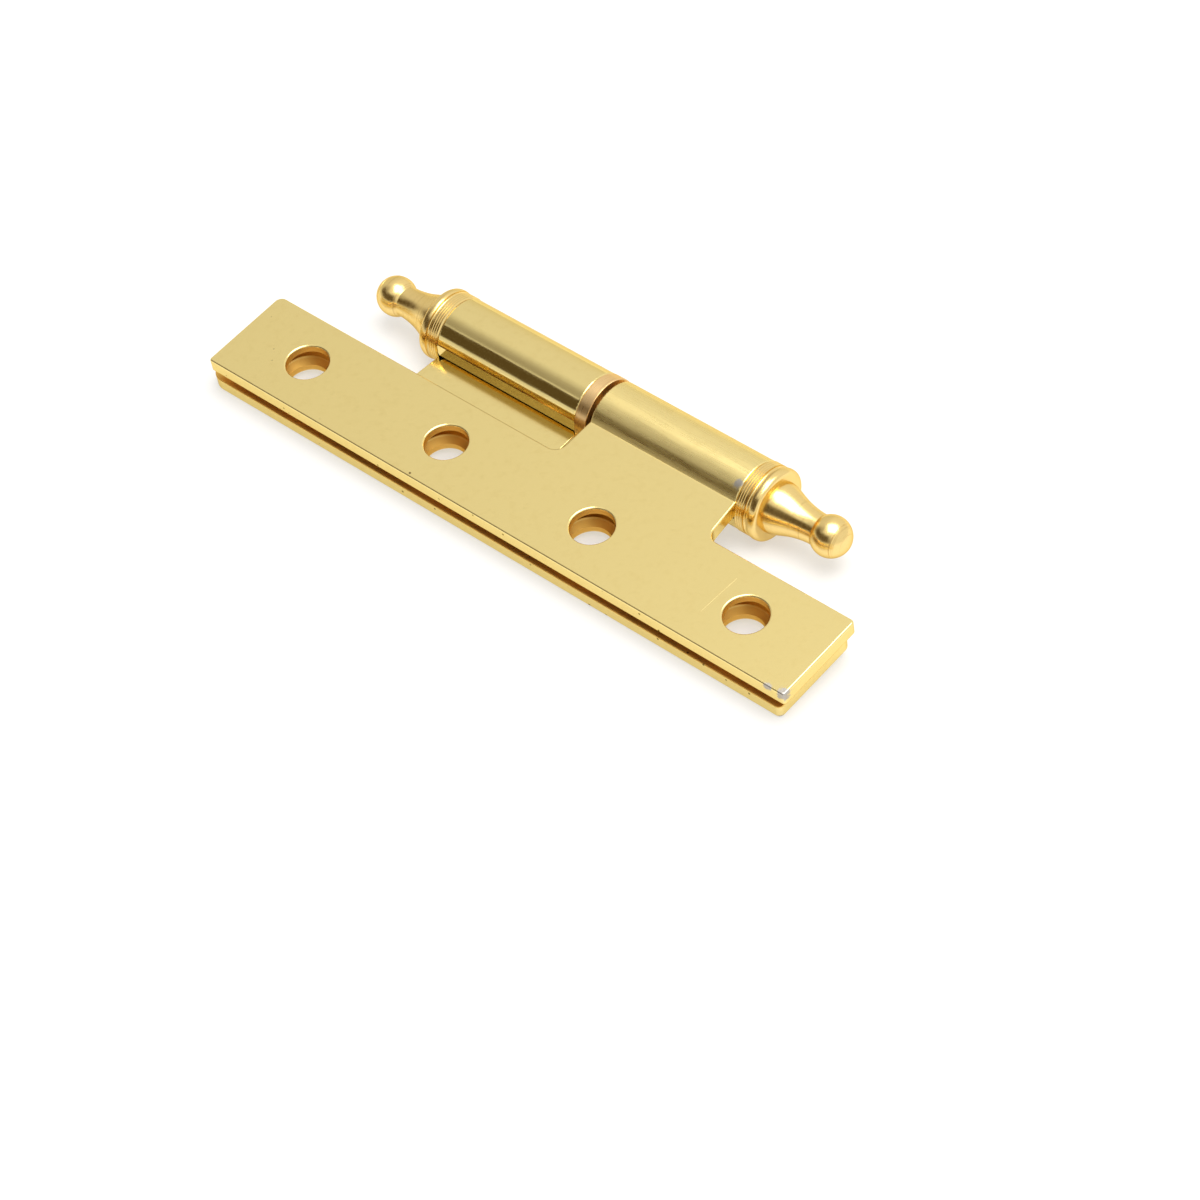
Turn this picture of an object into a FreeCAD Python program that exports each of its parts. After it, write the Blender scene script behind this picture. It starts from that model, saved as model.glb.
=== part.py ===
"""Decorative lift-off door hinge, brass plated, with a ball finial at each end of its knuckles.

Units are millimetres. The hinge lies folded shut:
  X runs along the hinge pin,
  Y runs from the leaves' free edges towards the knuckles,
  Z is up, square to the leaves.
The origin is the centre of the frame leaf's row of screw holes, on that leaf's mounting face.

Six solids are made, one STEP file each:
  frame_leaf, door_leaf   the two stampings, each a plate whose tongue is rolled into a knuckle
  hinge_pin               pressed into the frame leaf's knuckle, running in the door leaf's
  bearing_ring            the washer that carries the door leaf on the frame leaf
  frame_finial            turned ball finial that closes the frame leaf's knuckle
  door_finial             the same turning, closing the door leaf's knuckle
"""
import FreeCAD
import Part
import math
import os

V = FreeCAD.Vector

# Leaves: plate and folded stack
LEAF_LENGTH = 110.0
OPEN_WIDTH = 55.0
PLATE = 2.2
LEAF_GAP = 1.6
STRIP_WIDTH = 15.7
DOOR_LEAF_SHIFT = 1.1
EDGE_ROLL = 0.3
EDGE_BREAK = 0.12

# Screw holes: one row of four, countersunk from the faces that meet when the hinge is shut
HOLE_FROM_EDGE = 8.0
HOLE_COUNT = 4
HOLE_SPACING = 28.0
HOLE_RADIUS = 3.3
SINK_RADIUS = 4.3
SINK_DEPTH = 1.0
HOLE_ROLL = 0.3

# Knuckles: the tongue rolled round the pin
KNUCKLE_RADIUS = 5.5
KNUCKLE_LENGTH = 27.2
KNUCKLE_OFFSET = 27.0
KNUCKLE_EDGE = 0.3
BORE_RADIUS = KNUCKLE_RADIUS - PLATE
NECK_FILLET = 1.8
NECK_FLARE = 0.8
SEAM_GAP = 0.3
SEAM_FLAT_TOP = 1.8
SEAM_FLAT_SINK = 0.16
SEAM_LIP = 0.3
TONGUE_CORNER = 1.0

# Corner radii of the two stampings, in the order
# front nearest the knuckle, front farthest from it, back farthest from it, back nearest it
FRAME_CORNERS = (2.5, 0.8, 1.5, 1.2)
DOOR_CORNERS = (0.5, 0.5, 1.2, 0.7)

# Pin and ring
PIN_CLEARANCE = 0.05
PIN_RADIUS = BORE_RADIUS - PIN_CLEARANCE
PIN_PRESSED = 18.0
PIN_RUNNING = 22.0
PIN_NOSE = 1.2
RING_LENGTH = 2.05
RING_RADIUS = 5.55
RING_EDGE = 0.12
RING_GAP = 0.65

# Finial, along its axis from the knuckle's end
SPIGOT_LENGTH = 6.0
COLLAR_LENGTH = 1.75
COLLAR_RADIUS = 5.58
COLLAR_EDGE = 0.2
LINE_COUNT = 3
LINE_FIRST = 0.5
LINE_PITCH = 0.4
LINE_WIDTH = 0.16
LINE_DEPTH = 0.08
GROOVE_WIDTH = 0.45
GROOVE_RADIUS = 5.2
BEAD_END = 3.75
BEAD_RADIUS = 5.65
BEAD_ROUND = 0.7
BEAD_CROWN = 0.03
STEM_BASE_RADIUS = 4.0
STEM_FLARE = 5.3
STEM_FLARE_RADIUS = 3.68
STEM_MID = 6.9
STEM_MID_RADIUS = 3.1
STEM_LOW = 8.8
STEM_LOW_RADIUS = 2.63
NECK_RADIUS = 2.42
BALL_AT = 13.2
BALL_RADIUS = 3.15
BALL_LINE = 1.65
BALL_LINE_DEPTH = 0.06

# Derived positions
FRONT_Y = -HOLE_FROM_EDGE
BACK_Y = FRONT_Y + STRIP_WIDTH
AXIS_Y = FRONT_Y + OPEN_WIDTH / 2
AXIS_Z = PLATE + LEAF_GAP / 2
FRAME_KNUCKLE_X = -LEAF_LENGTH / 2 + KNUCKLE_OFFSET
RING_X = FRAME_KNUCKLE_X + KNUCKLE_LENGTH
DOOR_KNUCKLE_X = RING_X + RING_LENGTH + RING_GAP


def rounded_outline(corners):
    """A closed flat wire through (x, y, radius) corners, with an arc at each corner."""
    count = len(corners)
    edges = []
    trims = []
    for i in range(count):
        x, y, radius = corners[i]
        here = V(x, y, 0)
        before = V(corners[i - 1][0], corners[i - 1][1], 0) - here
        after = V(corners[(i + 1) % count][0], corners[(i + 1) % count][1], 0) - here
        before.normalize()
        after.normalize()
        half = before.getAngle(after) / 2
        if radius <= 0:
            trims.append((here, here, here))
            continue
        reach = radius / math.tan(half)
        inward = before + after
        inward.normalize()
        middle = here + inward * (radius / math.sin(half) - radius)
        trims.append((here + before * reach, middle, here + after * reach))
    for i in range(count):
        start, middle, end = trims[i]
        following = trims[(i + 1) % count][0]
        if (end - start).Length > 1e-6:
            edges.append(Part.Arc(start, middle, end).toShape())
        if (following - end).Length > 1e-6:
            edges.append(Part.makeLine(end, following))
    return Part.Wire(edges)


def cylinder_x(radius, start, length):
    """A cylinder on the hinge axis from x = start."""
    return Part.makeCylinder(radius, length, V(start, AXIS_Y, AXIS_Z), V(1, 0, 0))


def plate_blank(corners):
    """The flat stamping: strip and tongue, with its punched edges rolled and broken."""
    left = -LEAF_LENGTH / 2
    right = LEAF_LENGTH / 2
    neck_left = FRAME_KNUCKLE_X
    neck_right = FRAME_KNUCKLE_X + KNUCKLE_LENGTH
    tongue_y = AXIS_Y - BORE_RADIUS - 0.5
    front_near, front_far, back_far, back_near = corners
    outline = rounded_outline([
        (left, FRONT_Y, front_near),
        (right, FRONT_Y, front_far),
        (right, BACK_Y, back_far),
        (neck_right, BACK_Y, NECK_FILLET),
        (neck_right, tongue_y, 0),
        (neck_left, tongue_y, 0),
        (neck_left - NECK_FLARE, BACK_Y, NECK_FILLET),
        (left, BACK_Y, back_near),
    ])
    blank = Part.Face(outline).extrude(V(0, 0, PLATE))

    def rim(height):
        found = []
        for edge in blank.Edges:
            box = edge.BoundBox
            flat = abs(box.ZMin - height) < 1e-6 and abs(box.ZMax - height) < 1e-6
            hidden = box.YMin > tongue_y - 1e-6
            if flat and not hidden:
                found.append(edge)
        return found

    blank = blank.makeFillet(EDGE_ROLL, rim(0.0))
    return blank.makeFillet(EDGE_BREAK, rim(PLATE))


def screw_hole(x):
    """The cutter for one countersunk screw hole, with a rolled rim on the mounting face."""
    land_top = PLATE - SINK_DEPTH
    shank = Part.makeCylinder(HOLE_RADIUS, PLATE + 2, V(x, 0, -1))
    sink = Part.makeCone(HOLE_RADIUS, SINK_RADIUS, SINK_DEPTH, V(x, 0, land_top))
    rim_radius = HOLE_RADIUS + HOLE_ROLL
    rim = Part.makeCylinder(rim_radius, HOLE_ROLL + 1, V(x, 0, -1))
    rim = rim.cut(Part.makeTorus(rim_radius, HOLE_ROLL, V(x, 0, HOLE_ROLL)))
    rim = rim.cut(Part.makeCylinder(rim_radius + 1, HOLE_ROLL, V(x, 0, HOLE_ROLL)))
    return shank.fuse([sink, rim])


def knuckle_tube():
    """The rolled tongue: a tube with softly broken end rims."""
    outer = cylinder_x(KNUCKLE_RADIUS, FRAME_KNUCKLE_X, KNUCKLE_LENGTH)
    rims = [e for e in outer.Edges if abs(e.BoundBox.XMax - e.BoundBox.XMin) < 1e-6]
    outer = outer.makeFillet(KNUCKLE_EDGE, rims)
    bore = cylinder_x(BORE_RADIUS, FRAME_KNUCKLE_X - 1, KNUCKLE_LENGTH + 2)
    return outer.cut(bore)


def seam_cutter():
    """The narrow seam where the rolled tongue ends above its own plate, and the flat beside it.

    The flat is pressed into the last stretch of the tongue, and its lower lip is bevelled.
    """
    x0 = FRAME_KNUCKLE_X - 1
    length = KNUCKLE_LENGTH + 2
    clear = 3.0
    slit = Part.makeBox(length, KNUCKLE_RADIUS, SEAM_GAP, V(x0, AXIS_Y - KNUCKLE_RADIUS - clear, PLATE))
    top = SEAM_FLAT_TOP
    top_y = AXIS_Y - math.sqrt(KNUCKLE_RADIUS ** 2 - top ** 2)
    low = PLATE + SEAM_GAP - AXIS_Z
    low_y = AXIS_Y - math.sqrt(KNUCKLE_RADIUS ** 2 - low ** 2) + SEAM_FLAT_SINK
    section = [
        (top_y, top),
        (low_y, low + SEAM_LIP),
        (low_y + SEAM_LIP, low),
        (low_y - clear, low),
        (top_y - clear, top),
        (top_y, top),
    ]
    flat = Part.makePolygon([V(x0, y, AXIS_Z + z) for y, z in section])
    return slit.fuse(Part.Face(flat).extrude(V(length, 0, 0)))


def tongue_corner(x, outward):
    """The cutter that rounds one end corner of the tongue, at the knuckle's end x."""
    base = PLATE + SEAM_GAP
    near = min(x, x - outward * TONGUE_CORNER)
    block = Part.makeBox(TONGUE_CORNER + 0.5, 3.4, TONGUE_CORNER,
                         V(near if outward > 0 else near - 0.5, AXIS_Y - KNUCKLE_RADIUS - 1, base))
    centre = V(x - outward * TONGUE_CORNER, AXIS_Y - KNUCKLE_RADIUS - 2, base + TONGUE_CORNER)
    return block.cut(Part.makeCylinder(TONGUE_CORNER, 6, centre, V(0, 1, 0)))


def leaf(corners):
    """One stamping in the frame leaf's place, its mounting face on z = 0."""
    body = plate_blank(corners).fuse(knuckle_tube())
    cutters = [cylinder_x(BORE_RADIUS, FRAME_KNUCKLE_X - 1, KNUCKLE_LENGTH + 2), seam_cutter()]
    cutters.append(tongue_corner(FRAME_KNUCKLE_X, -1))
    cutters.append(tongue_corner(FRAME_KNUCKLE_X + KNUCKLE_LENGTH, 1))
    first = -HOLE_SPACING * (HOLE_COUNT - 1) / 2
    for i in range(HOLE_COUNT):
        cutters.append(screw_hole(first + i * HOLE_SPACING))
    return body.cut(cutters).removeSplitter()


def turned_over(shape):
    """The same piece turned face down about the hinge axis's level, in the door leaf's place."""
    centre = V(DOOR_LEAF_SHIFT / 2, 0, AXIS_Z)
    turned = shape.copy()
    turned.rotate(centre, V(0, 1, 0), 180)
    return turned


def pin():
    """The pin: pressed part at full bore size, running part, rounded nose."""
    pressed = cylinder_x(BORE_RADIUS, RING_X - PIN_PRESSED, PIN_PRESSED)
    running = cylinder_x(PIN_RADIUS, RING_X - 1, PIN_RUNNING + 1)
    tip = RING_X + PIN_RUNNING
    nose = [e for e in running.Edges if abs(e.BoundBox.XMin - tip) < 1e-6]
    return pressed.fuse(running.makeFillet(PIN_NOSE, nose)).removeSplitter()


def ring():
    """The bearing ring between the two knuckles."""
    outer = cylinder_x(RING_RADIUS, RING_X, RING_LENGTH)
    rims = [e for e in outer.Edges if abs(e.BoundBox.XMax - e.BoundBox.XMin) < 1e-6]
    return outer.makeFillet(RING_EDGE, rims).cut(cylinder_x(BORE_RADIUS, RING_X - 1, RING_LENGTH + 2))


def finial():
    """One turned finial standing along +Z, its knuckle face on z = 0."""

    def p(along, radius):
        return V(radius, 0, along)

    def line(*points):
        return [Part.makeLine(p(*points[i]), p(*points[i + 1])) for i in range(len(points) - 1)]

    def scored(along, radius):
        """The V of one fine turned line, round the cylinder of that radius."""
        half = LINE_WIDTH / 2
        return [(along - half, radius), (along, radius - LINE_DEPTH), (along + half, radius)]

    collar = [(-SPIGOT_LENGTH, 0), (-SPIGOT_LENGTH, BORE_RADIUS), (0, BORE_RADIUS),
              (0, COLLAR_RADIUS - COLLAR_EDGE), (COLLAR_EDGE, COLLAR_RADIUS)]
    for i in range(LINE_COUNT):
        collar += scored(LINE_FIRST + i * LINE_PITCH, COLLAR_RADIUS)
    collar.append((COLLAR_LENGTH - COLLAR_EDGE / 2, COLLAR_RADIUS))

    groove_end = (COLLAR_LENGTH + GROOVE_WIDTH + COLLAR_EDGE / 2, COLLAR_RADIUS)
    bead_top = (BEAD_END - BEAD_ROUND, BEAD_RADIUS)
    crown = ((groove_end[0] + bead_top[0]) / 2, BEAD_RADIUS + BEAD_CROWN)
    turn = BEAD_ROUND * (1 - math.sqrt(0.5))
    neck = (BALL_AT - math.sqrt(BALL_RADIUS ** 2 - NECK_RADIUS ** 2), NECK_RADIUS)
    stem = Part.BSplineCurve()
    stem.interpolate([
        p(BEAD_END, STEM_BASE_RADIUS),
        p(STEM_FLARE, STEM_FLARE_RADIUS),
        p(STEM_MID, STEM_MID_RADIUS),
        p(STEM_LOW, STEM_LOW_RADIUS),
        p(*neck),
    ])
    edges = line(*collar)
    edges += [
        Part.Arc(p(*collar[-1]), p(COLLAR_LENGTH + GROOVE_WIDTH / 2, GROOVE_RADIUS), p(*groove_end)).toShape(),
        Part.Arc(p(*groove_end), p(*crown), p(*bead_top)).toShape(),
        Part.Arc(p(*bead_top), p(BEAD_END - turn, BEAD_RADIUS - turn),
                 p(BEAD_END, BEAD_RADIUS - BEAD_ROUND)).toShape(),
    ]
    edges += line((BEAD_END, BEAD_RADIUS - BEAD_ROUND), (BEAD_END, STEM_BASE_RADIUS))
    edges.append(stem.toShape())
    edges.append(Part.Arc(p(*neck), p(BALL_AT, BALL_RADIUS), p(BALL_AT + BALL_RADIUS, 0)).toShape())
    edges += line((BALL_AT + BALL_RADIUS, 0), (-SPIGOT_LENGTH, 0))
    turned = Part.Face(Part.Wire(edges)).revolve(V(0, 0, 0), V(0, 0, 1), 360)
    line_radius = math.sqrt(BALL_RADIUS ** 2 - BALL_LINE ** 2)
    return turned.cut(Part.makeTorus(line_radius, BALL_LINE_DEPTH, V(0, 0, BALL_AT + BALL_LINE)))


def placed_finial(x, direction):
    """A finial standing on the knuckle's end at x, pointing along direction (+1 or -1) times X."""
    shape = finial()
    shape.rotate(V(0, 0, 0), V(0, 1, 0), 90 * direction)
    shape.translate(V(x, AXIS_Y, AXIS_Z))
    return shape


def main():
    solids = {
        "frame_leaf": leaf(FRAME_CORNERS),
        "door_leaf": turned_over(leaf(DOOR_CORNERS)),
        "hinge_pin": pin(),
        "bearing_ring": ring(),
        "frame_finial": placed_finial(FRAME_KNUCKLE_X, -1),
        "door_finial": placed_finial(DOOR_KNUCKLE_X + KNUCKLE_LENGTH, 1),
    }
    os.makedirs("parts", exist_ok=True)
    for name, shape in solids.items():
        shape.exportStep("parts/" + name + ".step")


main()
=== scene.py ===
"""Looks, floor, light and camera for a brass-plated lift-off door hinge with ball finials.

Laid out as an add-on: one operator finishes each group of like pieces, one builds the stage, and
main() calls them in order. Lengths are metres, with MM turning millimetres into them.
"""
import math

import bpy
from mathutils import Matrix, Vector


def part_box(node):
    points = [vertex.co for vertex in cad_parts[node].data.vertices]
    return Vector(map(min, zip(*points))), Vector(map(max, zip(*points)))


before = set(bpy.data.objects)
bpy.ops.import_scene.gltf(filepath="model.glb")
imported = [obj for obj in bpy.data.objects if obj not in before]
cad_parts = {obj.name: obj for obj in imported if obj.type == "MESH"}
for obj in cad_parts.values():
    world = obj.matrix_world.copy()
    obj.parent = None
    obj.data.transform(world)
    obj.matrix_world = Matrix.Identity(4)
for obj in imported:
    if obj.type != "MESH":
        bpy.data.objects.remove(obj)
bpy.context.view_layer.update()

bl_info = {
    "name": "Lift-off Hinge Finishes",
    "version": (1, 0, 0),
    "blender": (4, 5, 0),
    "location": "View3D > Sidebar > Hinge",
    "description": "Brass-plate, turned-brass and steel finishes for a ball-tip lift-off hinge",
    "category": "Object",
}

MM = 0.001


def middle(low_high):
    """The centre of a (low, high) box."""
    return (low_high[0] + low_high[1]) / 2


DOOR_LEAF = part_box("door_leaf")
FRAME_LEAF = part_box("frame_leaf")
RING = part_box("bearing_ring")
DOOR_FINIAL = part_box("door_finial")
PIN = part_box("hinge_pin")

# The hinge axis runs along X through the middle of the bearing ring.
AXIS = middle(RING)
KNUCKLE_RADIUS = DOOR_LEAF[1].z - AXIS.z
PLATE = KNUCKLE_RADIUS - (PIN[1].z - PIN[0].z) / 2
# The door leaf's outer face is as far above the axis as the frame leaf's is below it, at z = 0.
TOP_FACE = 2 * AXIS.z
FRONT = FRAME_LEAF[0].y
# The strips that hold the screw holes are 15.7 mm wide; only the tongues reach past them.
STRIP_BACK = FRONT + 15.7 * MM
# Four screw holes stand 28 mm apart in each leaf, half of them each side of its middle.
HOLE_SPACING = 28 * MM
HOLE_REACH = 4.35 * MM

# Stage, in metres: the floor's half width, and the softbox's side, distance and direction.
FLOOR_HALF = 3.0
SOFTBOX_SIZE = 0.5
SOFTBOX_DISTANCE = 0.6
SOFTBOX_WAY = (0.2, 0.15, 0.95)

# Places of the marks that use has left, from the door leaf's front right corner and its knuckle.
WORN_CORNER = Vector((DOOR_LEAF[1].x, FRONT, TOP_FACE))
WORN_EDGE = WORN_CORNER + Vector((-3.0, -0.1, -0.3)) * MM
KNUCKLE_BRUISE = Vector((DOOR_FINIAL[0].x + 5.2 * MM, AXIS.y - 2.8 * MM, AXIS.z + 4.7 * MM))
LEAF_SCRATCH = (WORN_CORNER + Vector((-18.5, 5.0, 0)) * MM, WORN_CORNER + Vector((-18.1, 12.2, 0)) * MM)
KNUCKLE_SCRATCHES = (
    (AXIS + Vector((3.76, -4.45, 3.23)) * MM, AXIS + Vector((4.19, -3.69, 4.08)) * MM),
    (AXIS + Vector((5.53, -4.24, 3.5)) * MM, AXIS + Vector((6.51, -2.95, 4.64)) * MM),
    (AXIS + Vector((16.2, -4.48, 3.19)) * MM, AXIS + Vector((16.9, -3.76, 4.01)) * MM),
)


def linear(hex_colour):
    """An sRGB hex colour as linear RGBA."""
    def channel(start):
        value = int(hex_colour[start:start + 2], 16) / 255
        return value / 12.92 if value <= 0.04045 else ((value + 0.055) / 1.055) ** 2.4
    return (channel(1), channel(3), channel(5), 1.0)


def colour_property(name, description, hex_colour):
    """A colour property with its default given in sRGB hex."""
    return bpy.props.FloatVectorProperty(name=name, description=description, subtype="COLOR", size=4,
                                         min=0.0, max=1.0, default=linear(hex_colour))


def length_property(name, description, millimetres):
    """A length property with its default given in millimetres."""
    return bpy.props.FloatProperty(name=name, description=description, unit="LENGTH",
                                   min=0.0, default=millimetres * MM)


class HingeFinish(bpy.types.PropertyGroup):
    """Colours and grain sizes of the hinge's metals."""

    plate_colour: colour_property("Brass plate", "Bright brass plate on the leaves", "#F5DF98")
    plate_dull_colour: colour_property("Dulled plate", "The same plate where handling dulls it", "#DDBE70")
    # Painted shade: a deeper orange plate colour for the hole walls and the faces in the gap between the
    # leaves.
    plate_recess_shade_colour: colour_property("Plate with painted shade", "Plate in the holes and the gap", "#E2B45C")
    steel_colour: colour_property("Bare steel", "Steel core where the plate has worn through", "#B9B3AA")
    pit_colour: colour_property("Pit", "Dark blister in the plate", "#6A5228")
    turned_colour: colour_property("Turned brass", "Solid brass of the finials", "#F2D48C")
    turned_dark_colour: colour_property("Tarnished brass", "Brass left in the turned grooves", "#A9742E")
    ring_colour: colour_property("Ring brass", "Reddish brass of the bearing ring", "#F3CE94")
    pin_colour: colour_property("Pin steel", "Ground steel of the pin", "#A8A29A")
    pin_dark_colour: colour_property("Pin marks", "Steel in the pin's grinding marks", "#6B645C")
    smear_width: length_property("Burnishing width", "Width of the marks drawn along the knuckles", 0.35)
    ripple_size: length_property("Plate ripple", "Size of the slow waves in the stamped plate", 9.0)
    speckle_size: length_property("Speckle", "Size of the dulled speckle on the plate", 1.4)
    pit_spacing: length_property("Pit spacing", "Spacing of the blisters near the leaves' edges", 2.4)
    lathe_pitch: length_property("Lathe pitch", "Spacing of the tool marks on the finials", 0.3)
    ring_pitch: length_property("Ring pitch", "Spacing of the tool marks on the bearing ring", 0.28)
    pin_pitch: length_property("Grinding pitch", "Spacing of the grinding marks on the pin", 0.12)
    wear_reach: length_property("Corner wear", "How far bare steel reaches in from a worn corner", 1.5)
    scratch_width: length_property("Scratch width", "Width of the scratches", 0.1)


class HingeStage(bpy.types.PropertyGroup):
    """Floor, light and camera."""

    floor_colour: colour_property("Floor", "Plain white floor", "#B4B3B1")
    floor_glow: bpy.props.FloatProperty(name="Floor glow", description="Light from below the white floor",
                                        default=0.48)
    key_power: bpy.props.FloatProperty(name="Softbox power", description="Power of the overhead softbox",
                                       unit="POWER", default=3.4)
    surround_colour: colour_property("Surround", "White cloth round the table", "#F8F7F4")
    surround_left_colour: colour_property("Left surround", "The cloth's dimmer left side", "#E4E2DE")
    room_colour: colour_property("Room", "Dark room seen past the table's front edge", "#5A4C33")
    azimuth: bpy.props.FloatProperty(name="Azimuth", description="Camera azimuth from -Y to +X",
                                     unit="ROTATION", default=math.radians(48.98))
    elevation: bpy.props.FloatProperty(name="Elevation", description="Camera height over the leaves",
                                       unit="ROTATION", default=math.radians(50.11))
    roll: bpy.props.FloatProperty(name="Roll", description="Camera roll about its line of sight",
                                  unit="ROTATION", default=math.radians(10.98))
    distance: length_property("Distance", "Camera to the aim point", 519.7)
    aim: bpy.props.FloatVectorProperty(name="Aim", description="Point the camera looks at",
                                       subtype="XYZ", unit="LENGTH",
                                       default=(14.4 * MM, -0.57 * MM, -10.47 * MM))
    lens: bpy.props.FloatProperty(name="Lens", description="Focal length on a 36 mm wide sensor, in mm",
                                  default=108.08)


def add(tree, kind, links=None, **settings):
    """Adds a node. links maps its inputs to sockets or plain values; settings are its attributes."""
    node = tree.nodes.new(kind)
    for name, value in settings.items():
        setattr(node, name, value)
    for key, value in (links or {}).items():
        if isinstance(value, bpy.types.NodeSocket):
            tree.links.new(value, node.inputs[key])
        else:
            node.inputs[key].default_value = value
    return node


# Brass stays yellow where it is seen edge on.
EDGE_TINT = linear("#E6D3A6")


def new_material(name):
    """An empty node material and its tree."""
    material = bpy.data.materials.new(name)
    material.use_nodes = True
    material.node_tree.nodes.clear()
    return material, material.node_tree


def finish_with(node_name, material):
    """Gives a CAD node one material."""
    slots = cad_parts[node_name].data.materials
    slots.clear()
    slots.append(material)


def knuckle_mask(tree, place):
    """1 on the rolled knuckle and 0 on the flat plate, from the distance to the hinge axis."""
    from_axis = add(tree, "ShaderNodeVectorMath", {0: place, 1: tuple(AXIS)}, operation="SUBTRACT")
    across = add(tree, "ShaderNodeVectorMath", {
        0: from_axis.outputs[0], 1: (0, 1, 1),
    }, operation="MULTIPLY")
    radius = add(tree, "ShaderNodeVectorMath", {0: across.outputs[0]}, operation="LENGTH")
    mask = add(tree, "ShaderNodeMapRange", {
        "Value": radius.outputs["Value"], "From Min": KNUCKLE_RADIUS + 0.3 * MM, "From Max": KNUCKLE_RADIUS,
    })
    return mask.outputs[0]


def hidden_mask(tree, place, leaf_middle):
    """1 on the walls of the screw holes and on the faces that look into the gap between the leaves."""
    parts = add(tree, "ShaderNodeSeparateXYZ", {0: place})
    height = add(tree, "ShaderNodeMath", {0: parts.outputs["Z"], 1: AXIS.z}, operation="SUBTRACT")
    level = add(tree, "ShaderNodeMath", {0: height.outputs[0]}, operation="ABSOLUTE")
    half = HOLE_SPACING / 2
    along = add(tree, "ShaderNodeMath", {
        0: parts.outputs["X"], 1: leaf_middle + half,
    }, operation="SUBTRACT")
    in_pitch = add(tree, "ShaderNodeMath", {0: along.outputs[0], 1: half, 2: -half}, operation="WRAP")
    flat = add(tree, "ShaderNodeCombineXYZ", {"X": in_pitch.outputs[0], "Y": parts.outputs["Y"]})
    distance = add(tree, "ShaderNodeVectorMath", {0: flat.outputs[0]}, operation="LENGTH")
    hole = add(tree, "ShaderNodeMapRange", {
        "Value": distance.outputs["Value"], "From Min": HOLE_REACH, "From Max": HOLE_REACH - 0.3 * MM,
    })
    below_rim = add(tree, "ShaderNodeMapRange", {
        "Value": level.outputs[0], "From Min": AXIS.z - 0.1 * MM, "From Max": AXIS.z - 0.4 * MM,
    })
    wall = add(tree, "ShaderNodeMath", {0: hole.outputs[0], 1: below_rim.outputs[0]}, operation="MULTIPLY")
    inside = AXIS.z - PLATE
    gap = add(tree, "ShaderNodeMapRange", {
        "Value": level.outputs[0], "From Min": inside + 0.25 * MM, "From Max": inside + 0.05 * MM,
    })
    covered = add(tree, "ShaderNodeMapRange", {
        "Value": parts.outputs["Y"], "From Min": STRIP_BACK, "From Max": STRIP_BACK - 1.5 * MM,
    })
    face = add(tree, "ShaderNodeMath", {0: gap.outputs[0], 1: covered.outputs[0]}, operation="MULTIPLY")
    either = add(tree, "ShaderNodeMath", {0: wall.outputs[0], 1: face.outputs[0]}, operation="MAXIMUM")
    return either.outputs[0]


def scratch_mask(tree, place, ends, width):
    """1 along a straight scratch between two points."""
    start, end = ends
    line = end - start
    from_start = add(tree, "ShaderNodeVectorMath", {0: place, 1: tuple(start)}, operation="SUBTRACT")
    share = add(tree, "ShaderNodeVectorMath", {
        0: from_start.outputs[0], 1: tuple(line / line.length_squared),
    }, operation="DOT_PRODUCT")
    clamped = add(tree, "ShaderNodeClamp", {"Value": share.outputs["Value"]})
    foot = add(tree, "ShaderNodeVectorMath", {
        0: tuple(line), "Scale": clamped.outputs[0],
    }, operation="SCALE")
    away = add(tree, "ShaderNodeVectorMath", {
        0: from_start.outputs[0], 1: foot.outputs[0],
    }, operation="DISTANCE")
    mask = add(tree, "ShaderNodeMapRange", {
        "Value": away.outputs["Value"], "From Min": width / 2, "From Max": width / 4,
    })
    return mask.outputs[0]


def worn_mask(tree, place, centre, reach):
    """1 in a ragged patch round a point, where the plate is rubbed through."""
    distance = add(tree, "ShaderNodeVectorMath", {0: place, 1: tuple(centre)}, operation="DISTANCE")
    ragged = add(tree, "ShaderNodeTexNoise", {
        "Vector": place, "Scale": 1 / (0.9 * MM), "Detail": 5.0, "Roughness": 0.65,
    })
    limit = add(tree, "ShaderNodeMath", {0: ragged.outputs["Fac"], 1: 2 * reach}, operation="MULTIPLY")
    beyond = add(tree, "ShaderNodeMath", {
        0: limit.outputs[0], 1: distance.outputs["Value"],
    }, operation="SUBTRACT")
    mask = add(tree, "ShaderNodeMapRange", {"Value": beyond.outputs[0], "From Max": 0.35 * MM})
    return mask.outputs[0]


def pit_mask(tree, place, spacing, pitted_end):
    """1 in small blisters, which keep to the leaf's front edge and to its left end."""
    cells = add(tree, "ShaderNodeTexVoronoi", {"Vector": place, "Scale": 1 / spacing, "Randomness": 1.0})
    spots = add(tree, "ShaderNodeMapRange", {
        "Value": cells.outputs["Distance"], "From Min": 0.1, "From Max": 0.05,
    })
    parts = add(tree, "ShaderNodeSeparateXYZ", {0: place})
    at_front = add(tree, "ShaderNodeMapRange", {
        "Value": parts.outputs["Y"], "From Min": FRONT + 0.9 * MM, "From Max": FRONT + 0.6 * MM,
    })
    at_end = add(tree, "ShaderNodeMapRange", {
        "Value": parts.outputs["X"], "From Min": pitted_end, "From Max": pitted_end - 6 * MM,
    })
    where = add(tree, "ShaderNodeMath", {0: at_front.outputs[0], 1: at_end.outputs[0]}, operation="MAXIMUM")
    mask = add(tree, "ShaderNodeMath", {0: spots.outputs[0], 1: where.outputs[0]}, operation="MULTIPLY")
    return mask.outputs[0]


def largest(tree, masks):
    """The largest of several masks."""
    result = masks[0]
    for mask in masks[1:]:
        result = add(tree, "ShaderNodeMath", {0: result, 1: mask}, operation="MAXIMUM").outputs[0]
    return result


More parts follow.
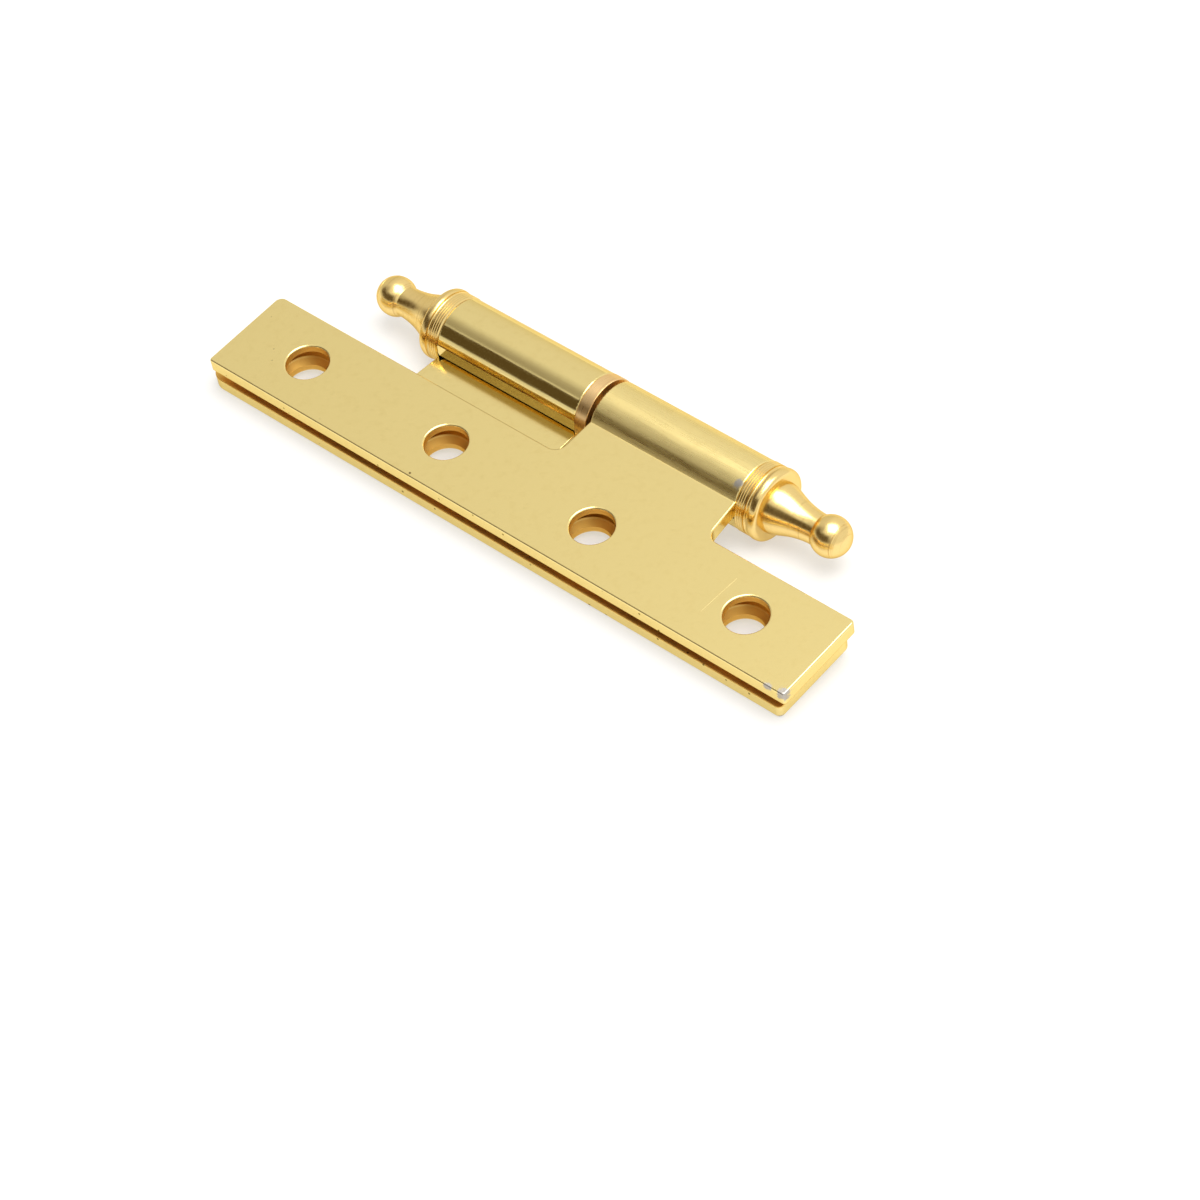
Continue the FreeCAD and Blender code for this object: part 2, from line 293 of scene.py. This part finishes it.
def plated_leaf_material(name, finish, leaf_middle, knuckle_polish, worn_places, scratches):
    """Bright brass plate on stamped steel: a near-mirror pale gold, slightly rippled by the press, with
    burnishing drawn along the knuckle, dulled speckle, pits by the edges, painted shade of a deeper orange
    plate colour in the holes and the gap, and bare steel where the leaf takes knocks."""
    material, tree = new_material(name)
    place = add(tree, "ShaderNodeTexCoord").outputs["Object"]
    knuckle = knuckle_mask(tree, place)
    hidden = hidden_mask(tree, place, leaf_middle)
    pits = pit_mask(tree, place, finish.pit_spacing, FRAME_LEAF[0].x + 12 * MM)

    # Slow ripple of the stamped and polished face.
    ripple = add(tree, "ShaderNodeTexNoise", {
        "Vector": place, "Scale": 1 / finish.ripple_size, "Detail": 1.5, "Roughness": 0.45,
    })
    # Burnishing: marks long in X and narrow round the knuckle.
    stretched = add(tree, "ShaderNodeVectorMath", {0: place, 1: (0.05, 1, 1)}, operation="MULTIPLY")
    smear = add(tree, "ShaderNodeTexNoise", {
        "Vector": stretched.outputs[0], "Scale": 1 / finish.smear_width, "Detail": 3.0, "Roughness": 0.6,
    })
    # Fine speckle that dulls the plate here and there.
    speckle = add(tree, "ShaderNodeTexNoise", {
        "Vector": place, "Scale": 1 / finish.speckle_size, "Detail": 6.0, "Roughness": 0.7,
    })
    dulled = add(tree, "ShaderNodeMapRange", {
        "Value": speckle.outputs["Fac"], "From Min": 0.5, "From Max": 0.8, "To Max": 0.25,
    })
    bright = add(tree, "ShaderNodeMix", {
        0: dulled.outputs[0], 6: tuple(finish.plate_colour), 7: tuple(finish.plate_dull_colour),
    }, data_type="RGBA")
    # Painted shade: the hole walls and the faces that look into the gap take the deeper orange plate
    # colour.
    plate = add(tree, "ShaderNodeMix", {
        0: hidden, 6: bright.outputs[2], 7: tuple(finish.plate_recess_shade_colour),
    }, data_type="RGBA")
    worn = largest(tree, [
        worn_mask(tree, place, centre, finish.wear_reach * size) for centre, size in worn_places
    ])
    colour = add(tree, "ShaderNodeMix", {
        0: worn, 6: plate.outputs[2], 7: tuple(finish.steel_colour),
    }, data_type="RGBA")
    pitted = add(tree, "ShaderNodeMix", {
        0: pits, 6: colour.outputs[2], 7: tuple(finish.pit_colour),
    }, data_type="RGBA")

    # The flat face is polished; the knuckle keeps its own polish; scratches and wear scatter the light.
    flat_rough = add(tree, "ShaderNodeMapRange", {
        "Value": speckle.outputs["Fac"], "From Min": 0.3, "From Max": 0.75, "To Min": 0.15, "To Max": 0.19,
    })
    knuckle_rough = add(tree, "ShaderNodeMapRange", {
        "Value": smear.outputs["Fac"], "From Min": 0.3, "From Max": 0.7,
        "To Min": knuckle_polish[0], "To Max": knuckle_polish[1],
    })
    polish = add(tree, "ShaderNodeMix", {0: knuckle, 2: flat_rough.outputs[0], 3: knuckle_rough.outputs[0]})
    lacquered = add(tree, "ShaderNodeMix", {0: hidden, 2: polish.outputs[0], 3: 0.48})
    scored = largest(tree, [worn] + [
        scratch_mask(tree, place, ends, finish.scratch_width) for ends in scratches
    ])
    rough = add(tree, "ShaderNodeMix", {0: scored, 2: lacquered.outputs[0], 3: 0.36})

    smear_height = add(tree, "ShaderNodeMath", {0: smear.outputs["Fac"], 1: knuckle}, operation="MULTIPLY")
    ripple_bump = add(tree, "ShaderNodeBump", {
        "Height": ripple.outputs["Fac"], "Strength": 0.5, "Distance": 0.05 * MM,
    })
    smear_bump = add(tree, "ShaderNodeBump", {
        "Height": smear_height.outputs[0], "Strength": 0.5, "Distance": 0.006 * MM,
        "Normal": ripple_bump.outputs[0],
    })
    dent_bump = add(tree, "ShaderNodeBump", {
        "Height": pits, "Strength": 0.5, "Distance": 0.03 * MM, "Normal": smear_bump.outputs[0],
    }, invert=True)
    metal = add(tree, "ShaderNodeBsdfPrincipled", {
        "Base Color": pitted.outputs[2], "Metallic": 1.0, "Roughness": rough.outputs[0],
        "Normal": dent_bump.outputs[0], "Specular Tint": EDGE_TINT,
    })
    add(tree, "ShaderNodeOutputMaterial", {"Surface": metal.outputs[0]})
    return material


def turned_material(name, colour, dark_colour, pitch, roughness, depth):
    """Turned brass: tool marks that run round the X axis, with tarnish left in the deepest ones."""
    material, tree = new_material(name)
    place = add(tree, "ShaderNodeTexCoord").outputs["Object"]
    rings = add(tree, "ShaderNodeVectorMath", {0: place, 1: (1, 0.02, 0.02)}, operation="MULTIPLY")
    marks = add(tree, "ShaderNodeTexNoise", {
        "Vector": rings.outputs[0], "Scale": 1 / pitch, "Detail": 5.0, "Roughness": 0.7,
    })
    deep = add(tree, "ShaderNodeMapRange", {
        "Value": marks.outputs["Fac"], "From Min": 0.42, "From Max": 0.28, "To Max": 0.6,
    })
    base = add(tree, "ShaderNodeMix", {
        0: deep.outputs[0], 6: tuple(colour), 7: tuple(dark_colour),
    }, data_type="RGBA")
    rough = add(tree, "ShaderNodeMapRange", {
        "Value": marks.outputs["Fac"], "From Min": 0.3, "From Max": 0.7,
        "To Min": roughness + 0.08, "To Max": roughness,
    })
    bump = add(tree, "ShaderNodeBump", {"Height": marks.outputs["Fac"], "Strength": 0.6, "Distance": depth})
    metal = add(tree, "ShaderNodeBsdfPrincipled", {
        "Base Color": base.outputs[2], "Metallic": 1.0, "Roughness": rough.outputs[0],
        "Normal": bump.outputs[0], "Specular Tint": EDGE_TINT,
    })
    add(tree, "ShaderNodeOutputMaterial", {"Surface": metal.outputs[0]})
    return material


class HINGE_OT_leaves(bpy.types.Operator):
    """Finish both leaves in bright brass plate; the frame leaf's knuckle is the better polished."""

    bl_idname = "hinge.leaves"
    bl_label = "Plate the Leaves"

    def execute(self, context):
        finish = context.scene.hinge_finish
        frame_corner = Vector((FRAME_LEAF[1].x, FRONT, 0))
        finish_with("frame_leaf", plated_leaf_material(
            "bright_brass_plate_on_stamped_steel_polished", finish, middle(FRAME_LEAF).x, (0.07, 0.16),
            [(frame_corner, 0.5)], []))
        finish_with("door_leaf", plated_leaf_material(
            "bright_brass_plate_on_stamped_steel_satin", finish, middle(DOOR_LEAF).x, (0.24, 0.34),
            [(WORN_CORNER, 1.0), (WORN_EDGE, 0.55), (KNUCKLE_BRUISE, 0.6)],
            [LEAF_SCRATCH, *KNUCKLE_SCRATCHES]))
        return {"FINISHED"}


class HINGE_OT_finials(bpy.types.Operator):
    """Finish both finials in turned brass."""

    bl_idname = "hinge.finials"
    bl_label = "Turn the Finials"

    def execute(self, context):
        finish = context.scene.hinge_finish
        material = turned_material("turned_and_polished_brass", finish.turned_colour,
                                   finish.turned_dark_colour, finish.lathe_pitch, 0.19, 0.012 * MM)
        finish_with("frame_finial", material)
        finish_with("door_finial", material)
        return {"FINISHED"}


class HINGE_OT_ring(bpy.types.Operator):
    """Finish the bearing ring in reddish turned brass."""

    bl_idname = "hinge.ring"
    bl_label = "Turn the Ring"

    def execute(self, context):
        finish = context.scene.hinge_finish
        material = turned_material("turned_red_brass", finish.ring_colour,
                                   finish.turned_dark_colour, finish.ring_pitch, 0.26, 0.014 * MM)
        finish_with("bearing_ring", material)
        return {"FINISHED"}


class HINGE_OT_pin(bpy.types.Operator):
    """Finish the pin in ground steel."""

    bl_idname = "hinge.pin"
    bl_label = "Grind the Pin"

    def execute(self, context):
        finish = context.scene.hinge_finish
        material = turned_material("ground_bright_steel", finish.pin_colour,
                                   finish.pin_dark_colour, finish.pin_pitch, 0.22, 0.003 * MM)
        finish_with("hinge_pin", material)
        return {"FINISHED"}


class HINGE_OT_stage(bpy.types.Operator):
    """Build the floor, the soft light and the camera."""

    bl_idname = "hinge.stage"
    bl_label = "Build the Stage"

    def execute(self, context):
        stage = context.scene.hinge_stage
        self.floor(stage)
        self.surround(context.scene, stage)
        self.softbox(stage)
        self.camera(context.scene, stage)
        context.scene.view_settings.view_transform = "Standard"
        return {"FINISHED"}

    def floor(self, stage):
        """A white floor touching the frame leaf's free edge and the finials' beads, as a table would."""
        bead = (DOOR_FINIAL[1].z - DOOR_FINIAL[0].z) / 2
        run = AXIS.y - FRAME_LEAF[0].y
        slope = math.atan2(AXIS.z, run)
        tilt = math.asin(bead / math.hypot(run, AXIS.z)) - slope
        half = FLOOR_HALF
        mesh = bpy.data.meshes.new("floor")
        edge = Vector((0, FRAME_LEAF[0].y, 0))
        lean = Matrix.Rotation(-tilt, 4, "X")
        outline = ((-half, -half), (half, -half), (half, half), (-half, half))
        corners = [edge + lean @ Vector((x, y, 0)) for x, y in outline]
        mesh.from_pydata(corners, [], [(0, 1, 2, 3)])
        floor = bpy.data.objects.new("floor", mesh)
        bpy.context.scene.collection.objects.link(floor)
        material, tree = new_material("matt_white_table")
        paint = add(tree, "ShaderNodeBsdfPrincipled", {
            "Base Color": tuple(stage.floor_colour), "Roughness": 0.7,
            "Emission Color": (1, 1, 1, 1), "Emission Strength": stage.floor_glow,
        })
        add(tree, "ShaderNodeOutputMaterial", {"Surface": paint.outputs[0]})
        mesh.materials.append(material)

    def surround(self, scene, stage):
        """A white cloth surround, dimmer to the left, that is open in front of the table to a dark room.

        The opening starts a little above the table. In front it ends at the softbox's edge; to the left it
        ends lower, at the bright hem of a cloth that is thin and half dark above the hem.
        """
        world = bpy.data.worlds.new("studio_surround")
        scene.world = world
        world.use_nodes = True
        tree = world.node_tree
        tree.nodes.clear()
        way = add(tree, "ShaderNodeTexCoord").outputs["Generated"]
        parts = add(tree, "ShaderNodeSeparateXYZ", {0: way})

        def fade(axis, nothing, full, most=1.0):
            """A soft step along one axis, from 0 at nothing to most at full."""
            return add(tree, "ShaderNodeMapRange", {
                "Value": parts.outputs[axis], "From Min": nothing, "From Max": full, "To Max": most,
            }, interpolation_type="SMOOTHSTEP").outputs[0]

        def combined(operation, first, second):
            return add(tree, "ShaderNodeMath", {0: first, 1: second}, operation=operation).outputs[0]

        level = add(tree, "ShaderNodeVectorMath", {0: way, 1: (1, 1, 0)}, operation="MULTIPLY")
        heading = add(tree, "ShaderNodeVectorMath", {0: level.outputs[0]}, operation="NORMALIZE")
        facing = add(tree, "ShaderNodeVectorMath", {
            0: heading.outputs[0], 1: Vector((-0.4, -0.9, 0)).normalized(),
        }, operation="DOT_PRODUCT")
        in_front = add(tree, "ShaderNodeMapRange", {
            "Value": facing.outputs["Value"], "From Min": 0.35, "From Max": 0.75,
        }, interpolation_type="SMOOTHSTEP").outputs[0]
        left = fade("X", -0.36, -0.42)
        front_opening = combined("MULTIPLY", in_front, fade("Z", 0.8, 0.74))
        left_opening = combined("MULTIPLY", in_front, fade("Z", 0.67, 0.65))
        thin_cloth = combined("MULTIPLY", fade("Z", 0.68, 0.71, 0.6), fade("Y", 0.15, -0.4))
        left_dark = combined("MAXIMUM", left_opening, thin_cloth)
        dark = add(tree, "ShaderNodeMix", {0: left, 2: front_opening, 3: left_dark}).outputs[0]
        opening = combined("MULTIPLY", dark, fade("Z", 0.19, 0.24))
        cloth = add(tree, "ShaderNodeMix", {
            0: fade("X", -0.3, -0.65), 6: tuple(stage.surround_colour),
            7: tuple(stage.surround_left_colour),
        }, data_type="RGBA")
        colour = add(tree, "ShaderNodeMix", {
            0: opening, 6: cloth.outputs[2], 7: tuple(stage.room_colour),
        }, data_type="RGBA")
        glow = add(tree, "ShaderNodeBackground", {"Color": colour.outputs[2], "Strength": 1.0})
        add(tree, "ShaderNodeOutputWorld", {"Surface": glow.outputs[0]})

    def softbox(self, stage):
        """A large square softbox overhead, a little to the right and behind."""
        light = bpy.data.lights.new("softbox", "AREA")
        light.shape = "SQUARE"
        light.size = SOFTBOX_SIZE
        light.energy = stage.key_power
        lamp = bpy.data.objects.new("softbox", light)
        way = Vector(SOFTBOX_WAY).normalized()
        lamp.location = AXIS + SOFTBOX_DISTANCE * way
        lamp.rotation_euler = way.to_track_quat("Z", "Y").to_euler()
        bpy.context.scene.collection.objects.link(lamp)

    def camera(self, scene, stage):
        """The camera, from its azimuth, elevation, roll and distance to the aim point."""
        data = bpy.data.cameras.new("camera")
        data.sensor_width = 36.0
        data.lens = stage.lens
        data.clip_end = 10.0
        camera = bpy.data.objects.new("camera", data)
        level = math.cos(stage.elevation)
        back = Vector((
            math.sin(stage.azimuth) * level, -math.cos(stage.azimuth) * level, math.sin(stage.elevation),
        ))
        turn = back.to_track_quat("Z", "Y").to_matrix().to_4x4() @ Matrix.Rotation(-stage.roll, 4, "Z")
        camera.matrix_world = Matrix.Translation(Vector(stage.aim) + stage.distance * back) @ turn
        scene.collection.objects.link(camera)
        scene.camera = camera


class HINGE_PT_panel(bpy.types.Panel):
    """Lists the hinge's operators and settings."""

    bl_idname = "HINGE_PT_panel"
    bl_label = "Hinge"
    bl_space_type = "VIEW_3D"
    bl_region_type = "UI"
    bl_category = "Hinge"

    def draw(self, context):
        layout = self.layout
        for operator in OPERATORS:
            layout.operator(operator.bl_idname)
        for group in (context.scene.hinge_finish, context.scene.hinge_stage):
            box = layout.box()
            for name in group.__annotations__:
                box.prop(group, name)


OPERATORS = (HINGE_OT_leaves, HINGE_OT_finials, HINGE_OT_ring, HINGE_OT_pin, HINGE_OT_stage)
CLASSES = (HingeFinish, HingeStage) + OPERATORS + (HINGE_PT_panel,)


def register():
    for cls in CLASSES:
        bpy.utils.register_class(cls)
    bpy.types.Scene.hinge_finish = bpy.props.PointerProperty(type=HingeFinish)
    bpy.types.Scene.hinge_stage = bpy.props.PointerProperty(type=HingeStage)


def unregister():
    del bpy.types.Scene.hinge_stage
    del bpy.types.Scene.hinge_finish
    for cls in reversed(CLASSES):
        bpy.utils.unregister_class(cls)


def main():
    register()
    bpy.ops.hinge.leaves()
    bpy.ops.hinge.finials()
    bpy.ops.hinge.ring()
    bpy.ops.hinge.pin()
    bpy.ops.hinge.stage()


if __name__ == "__main__":
    main()
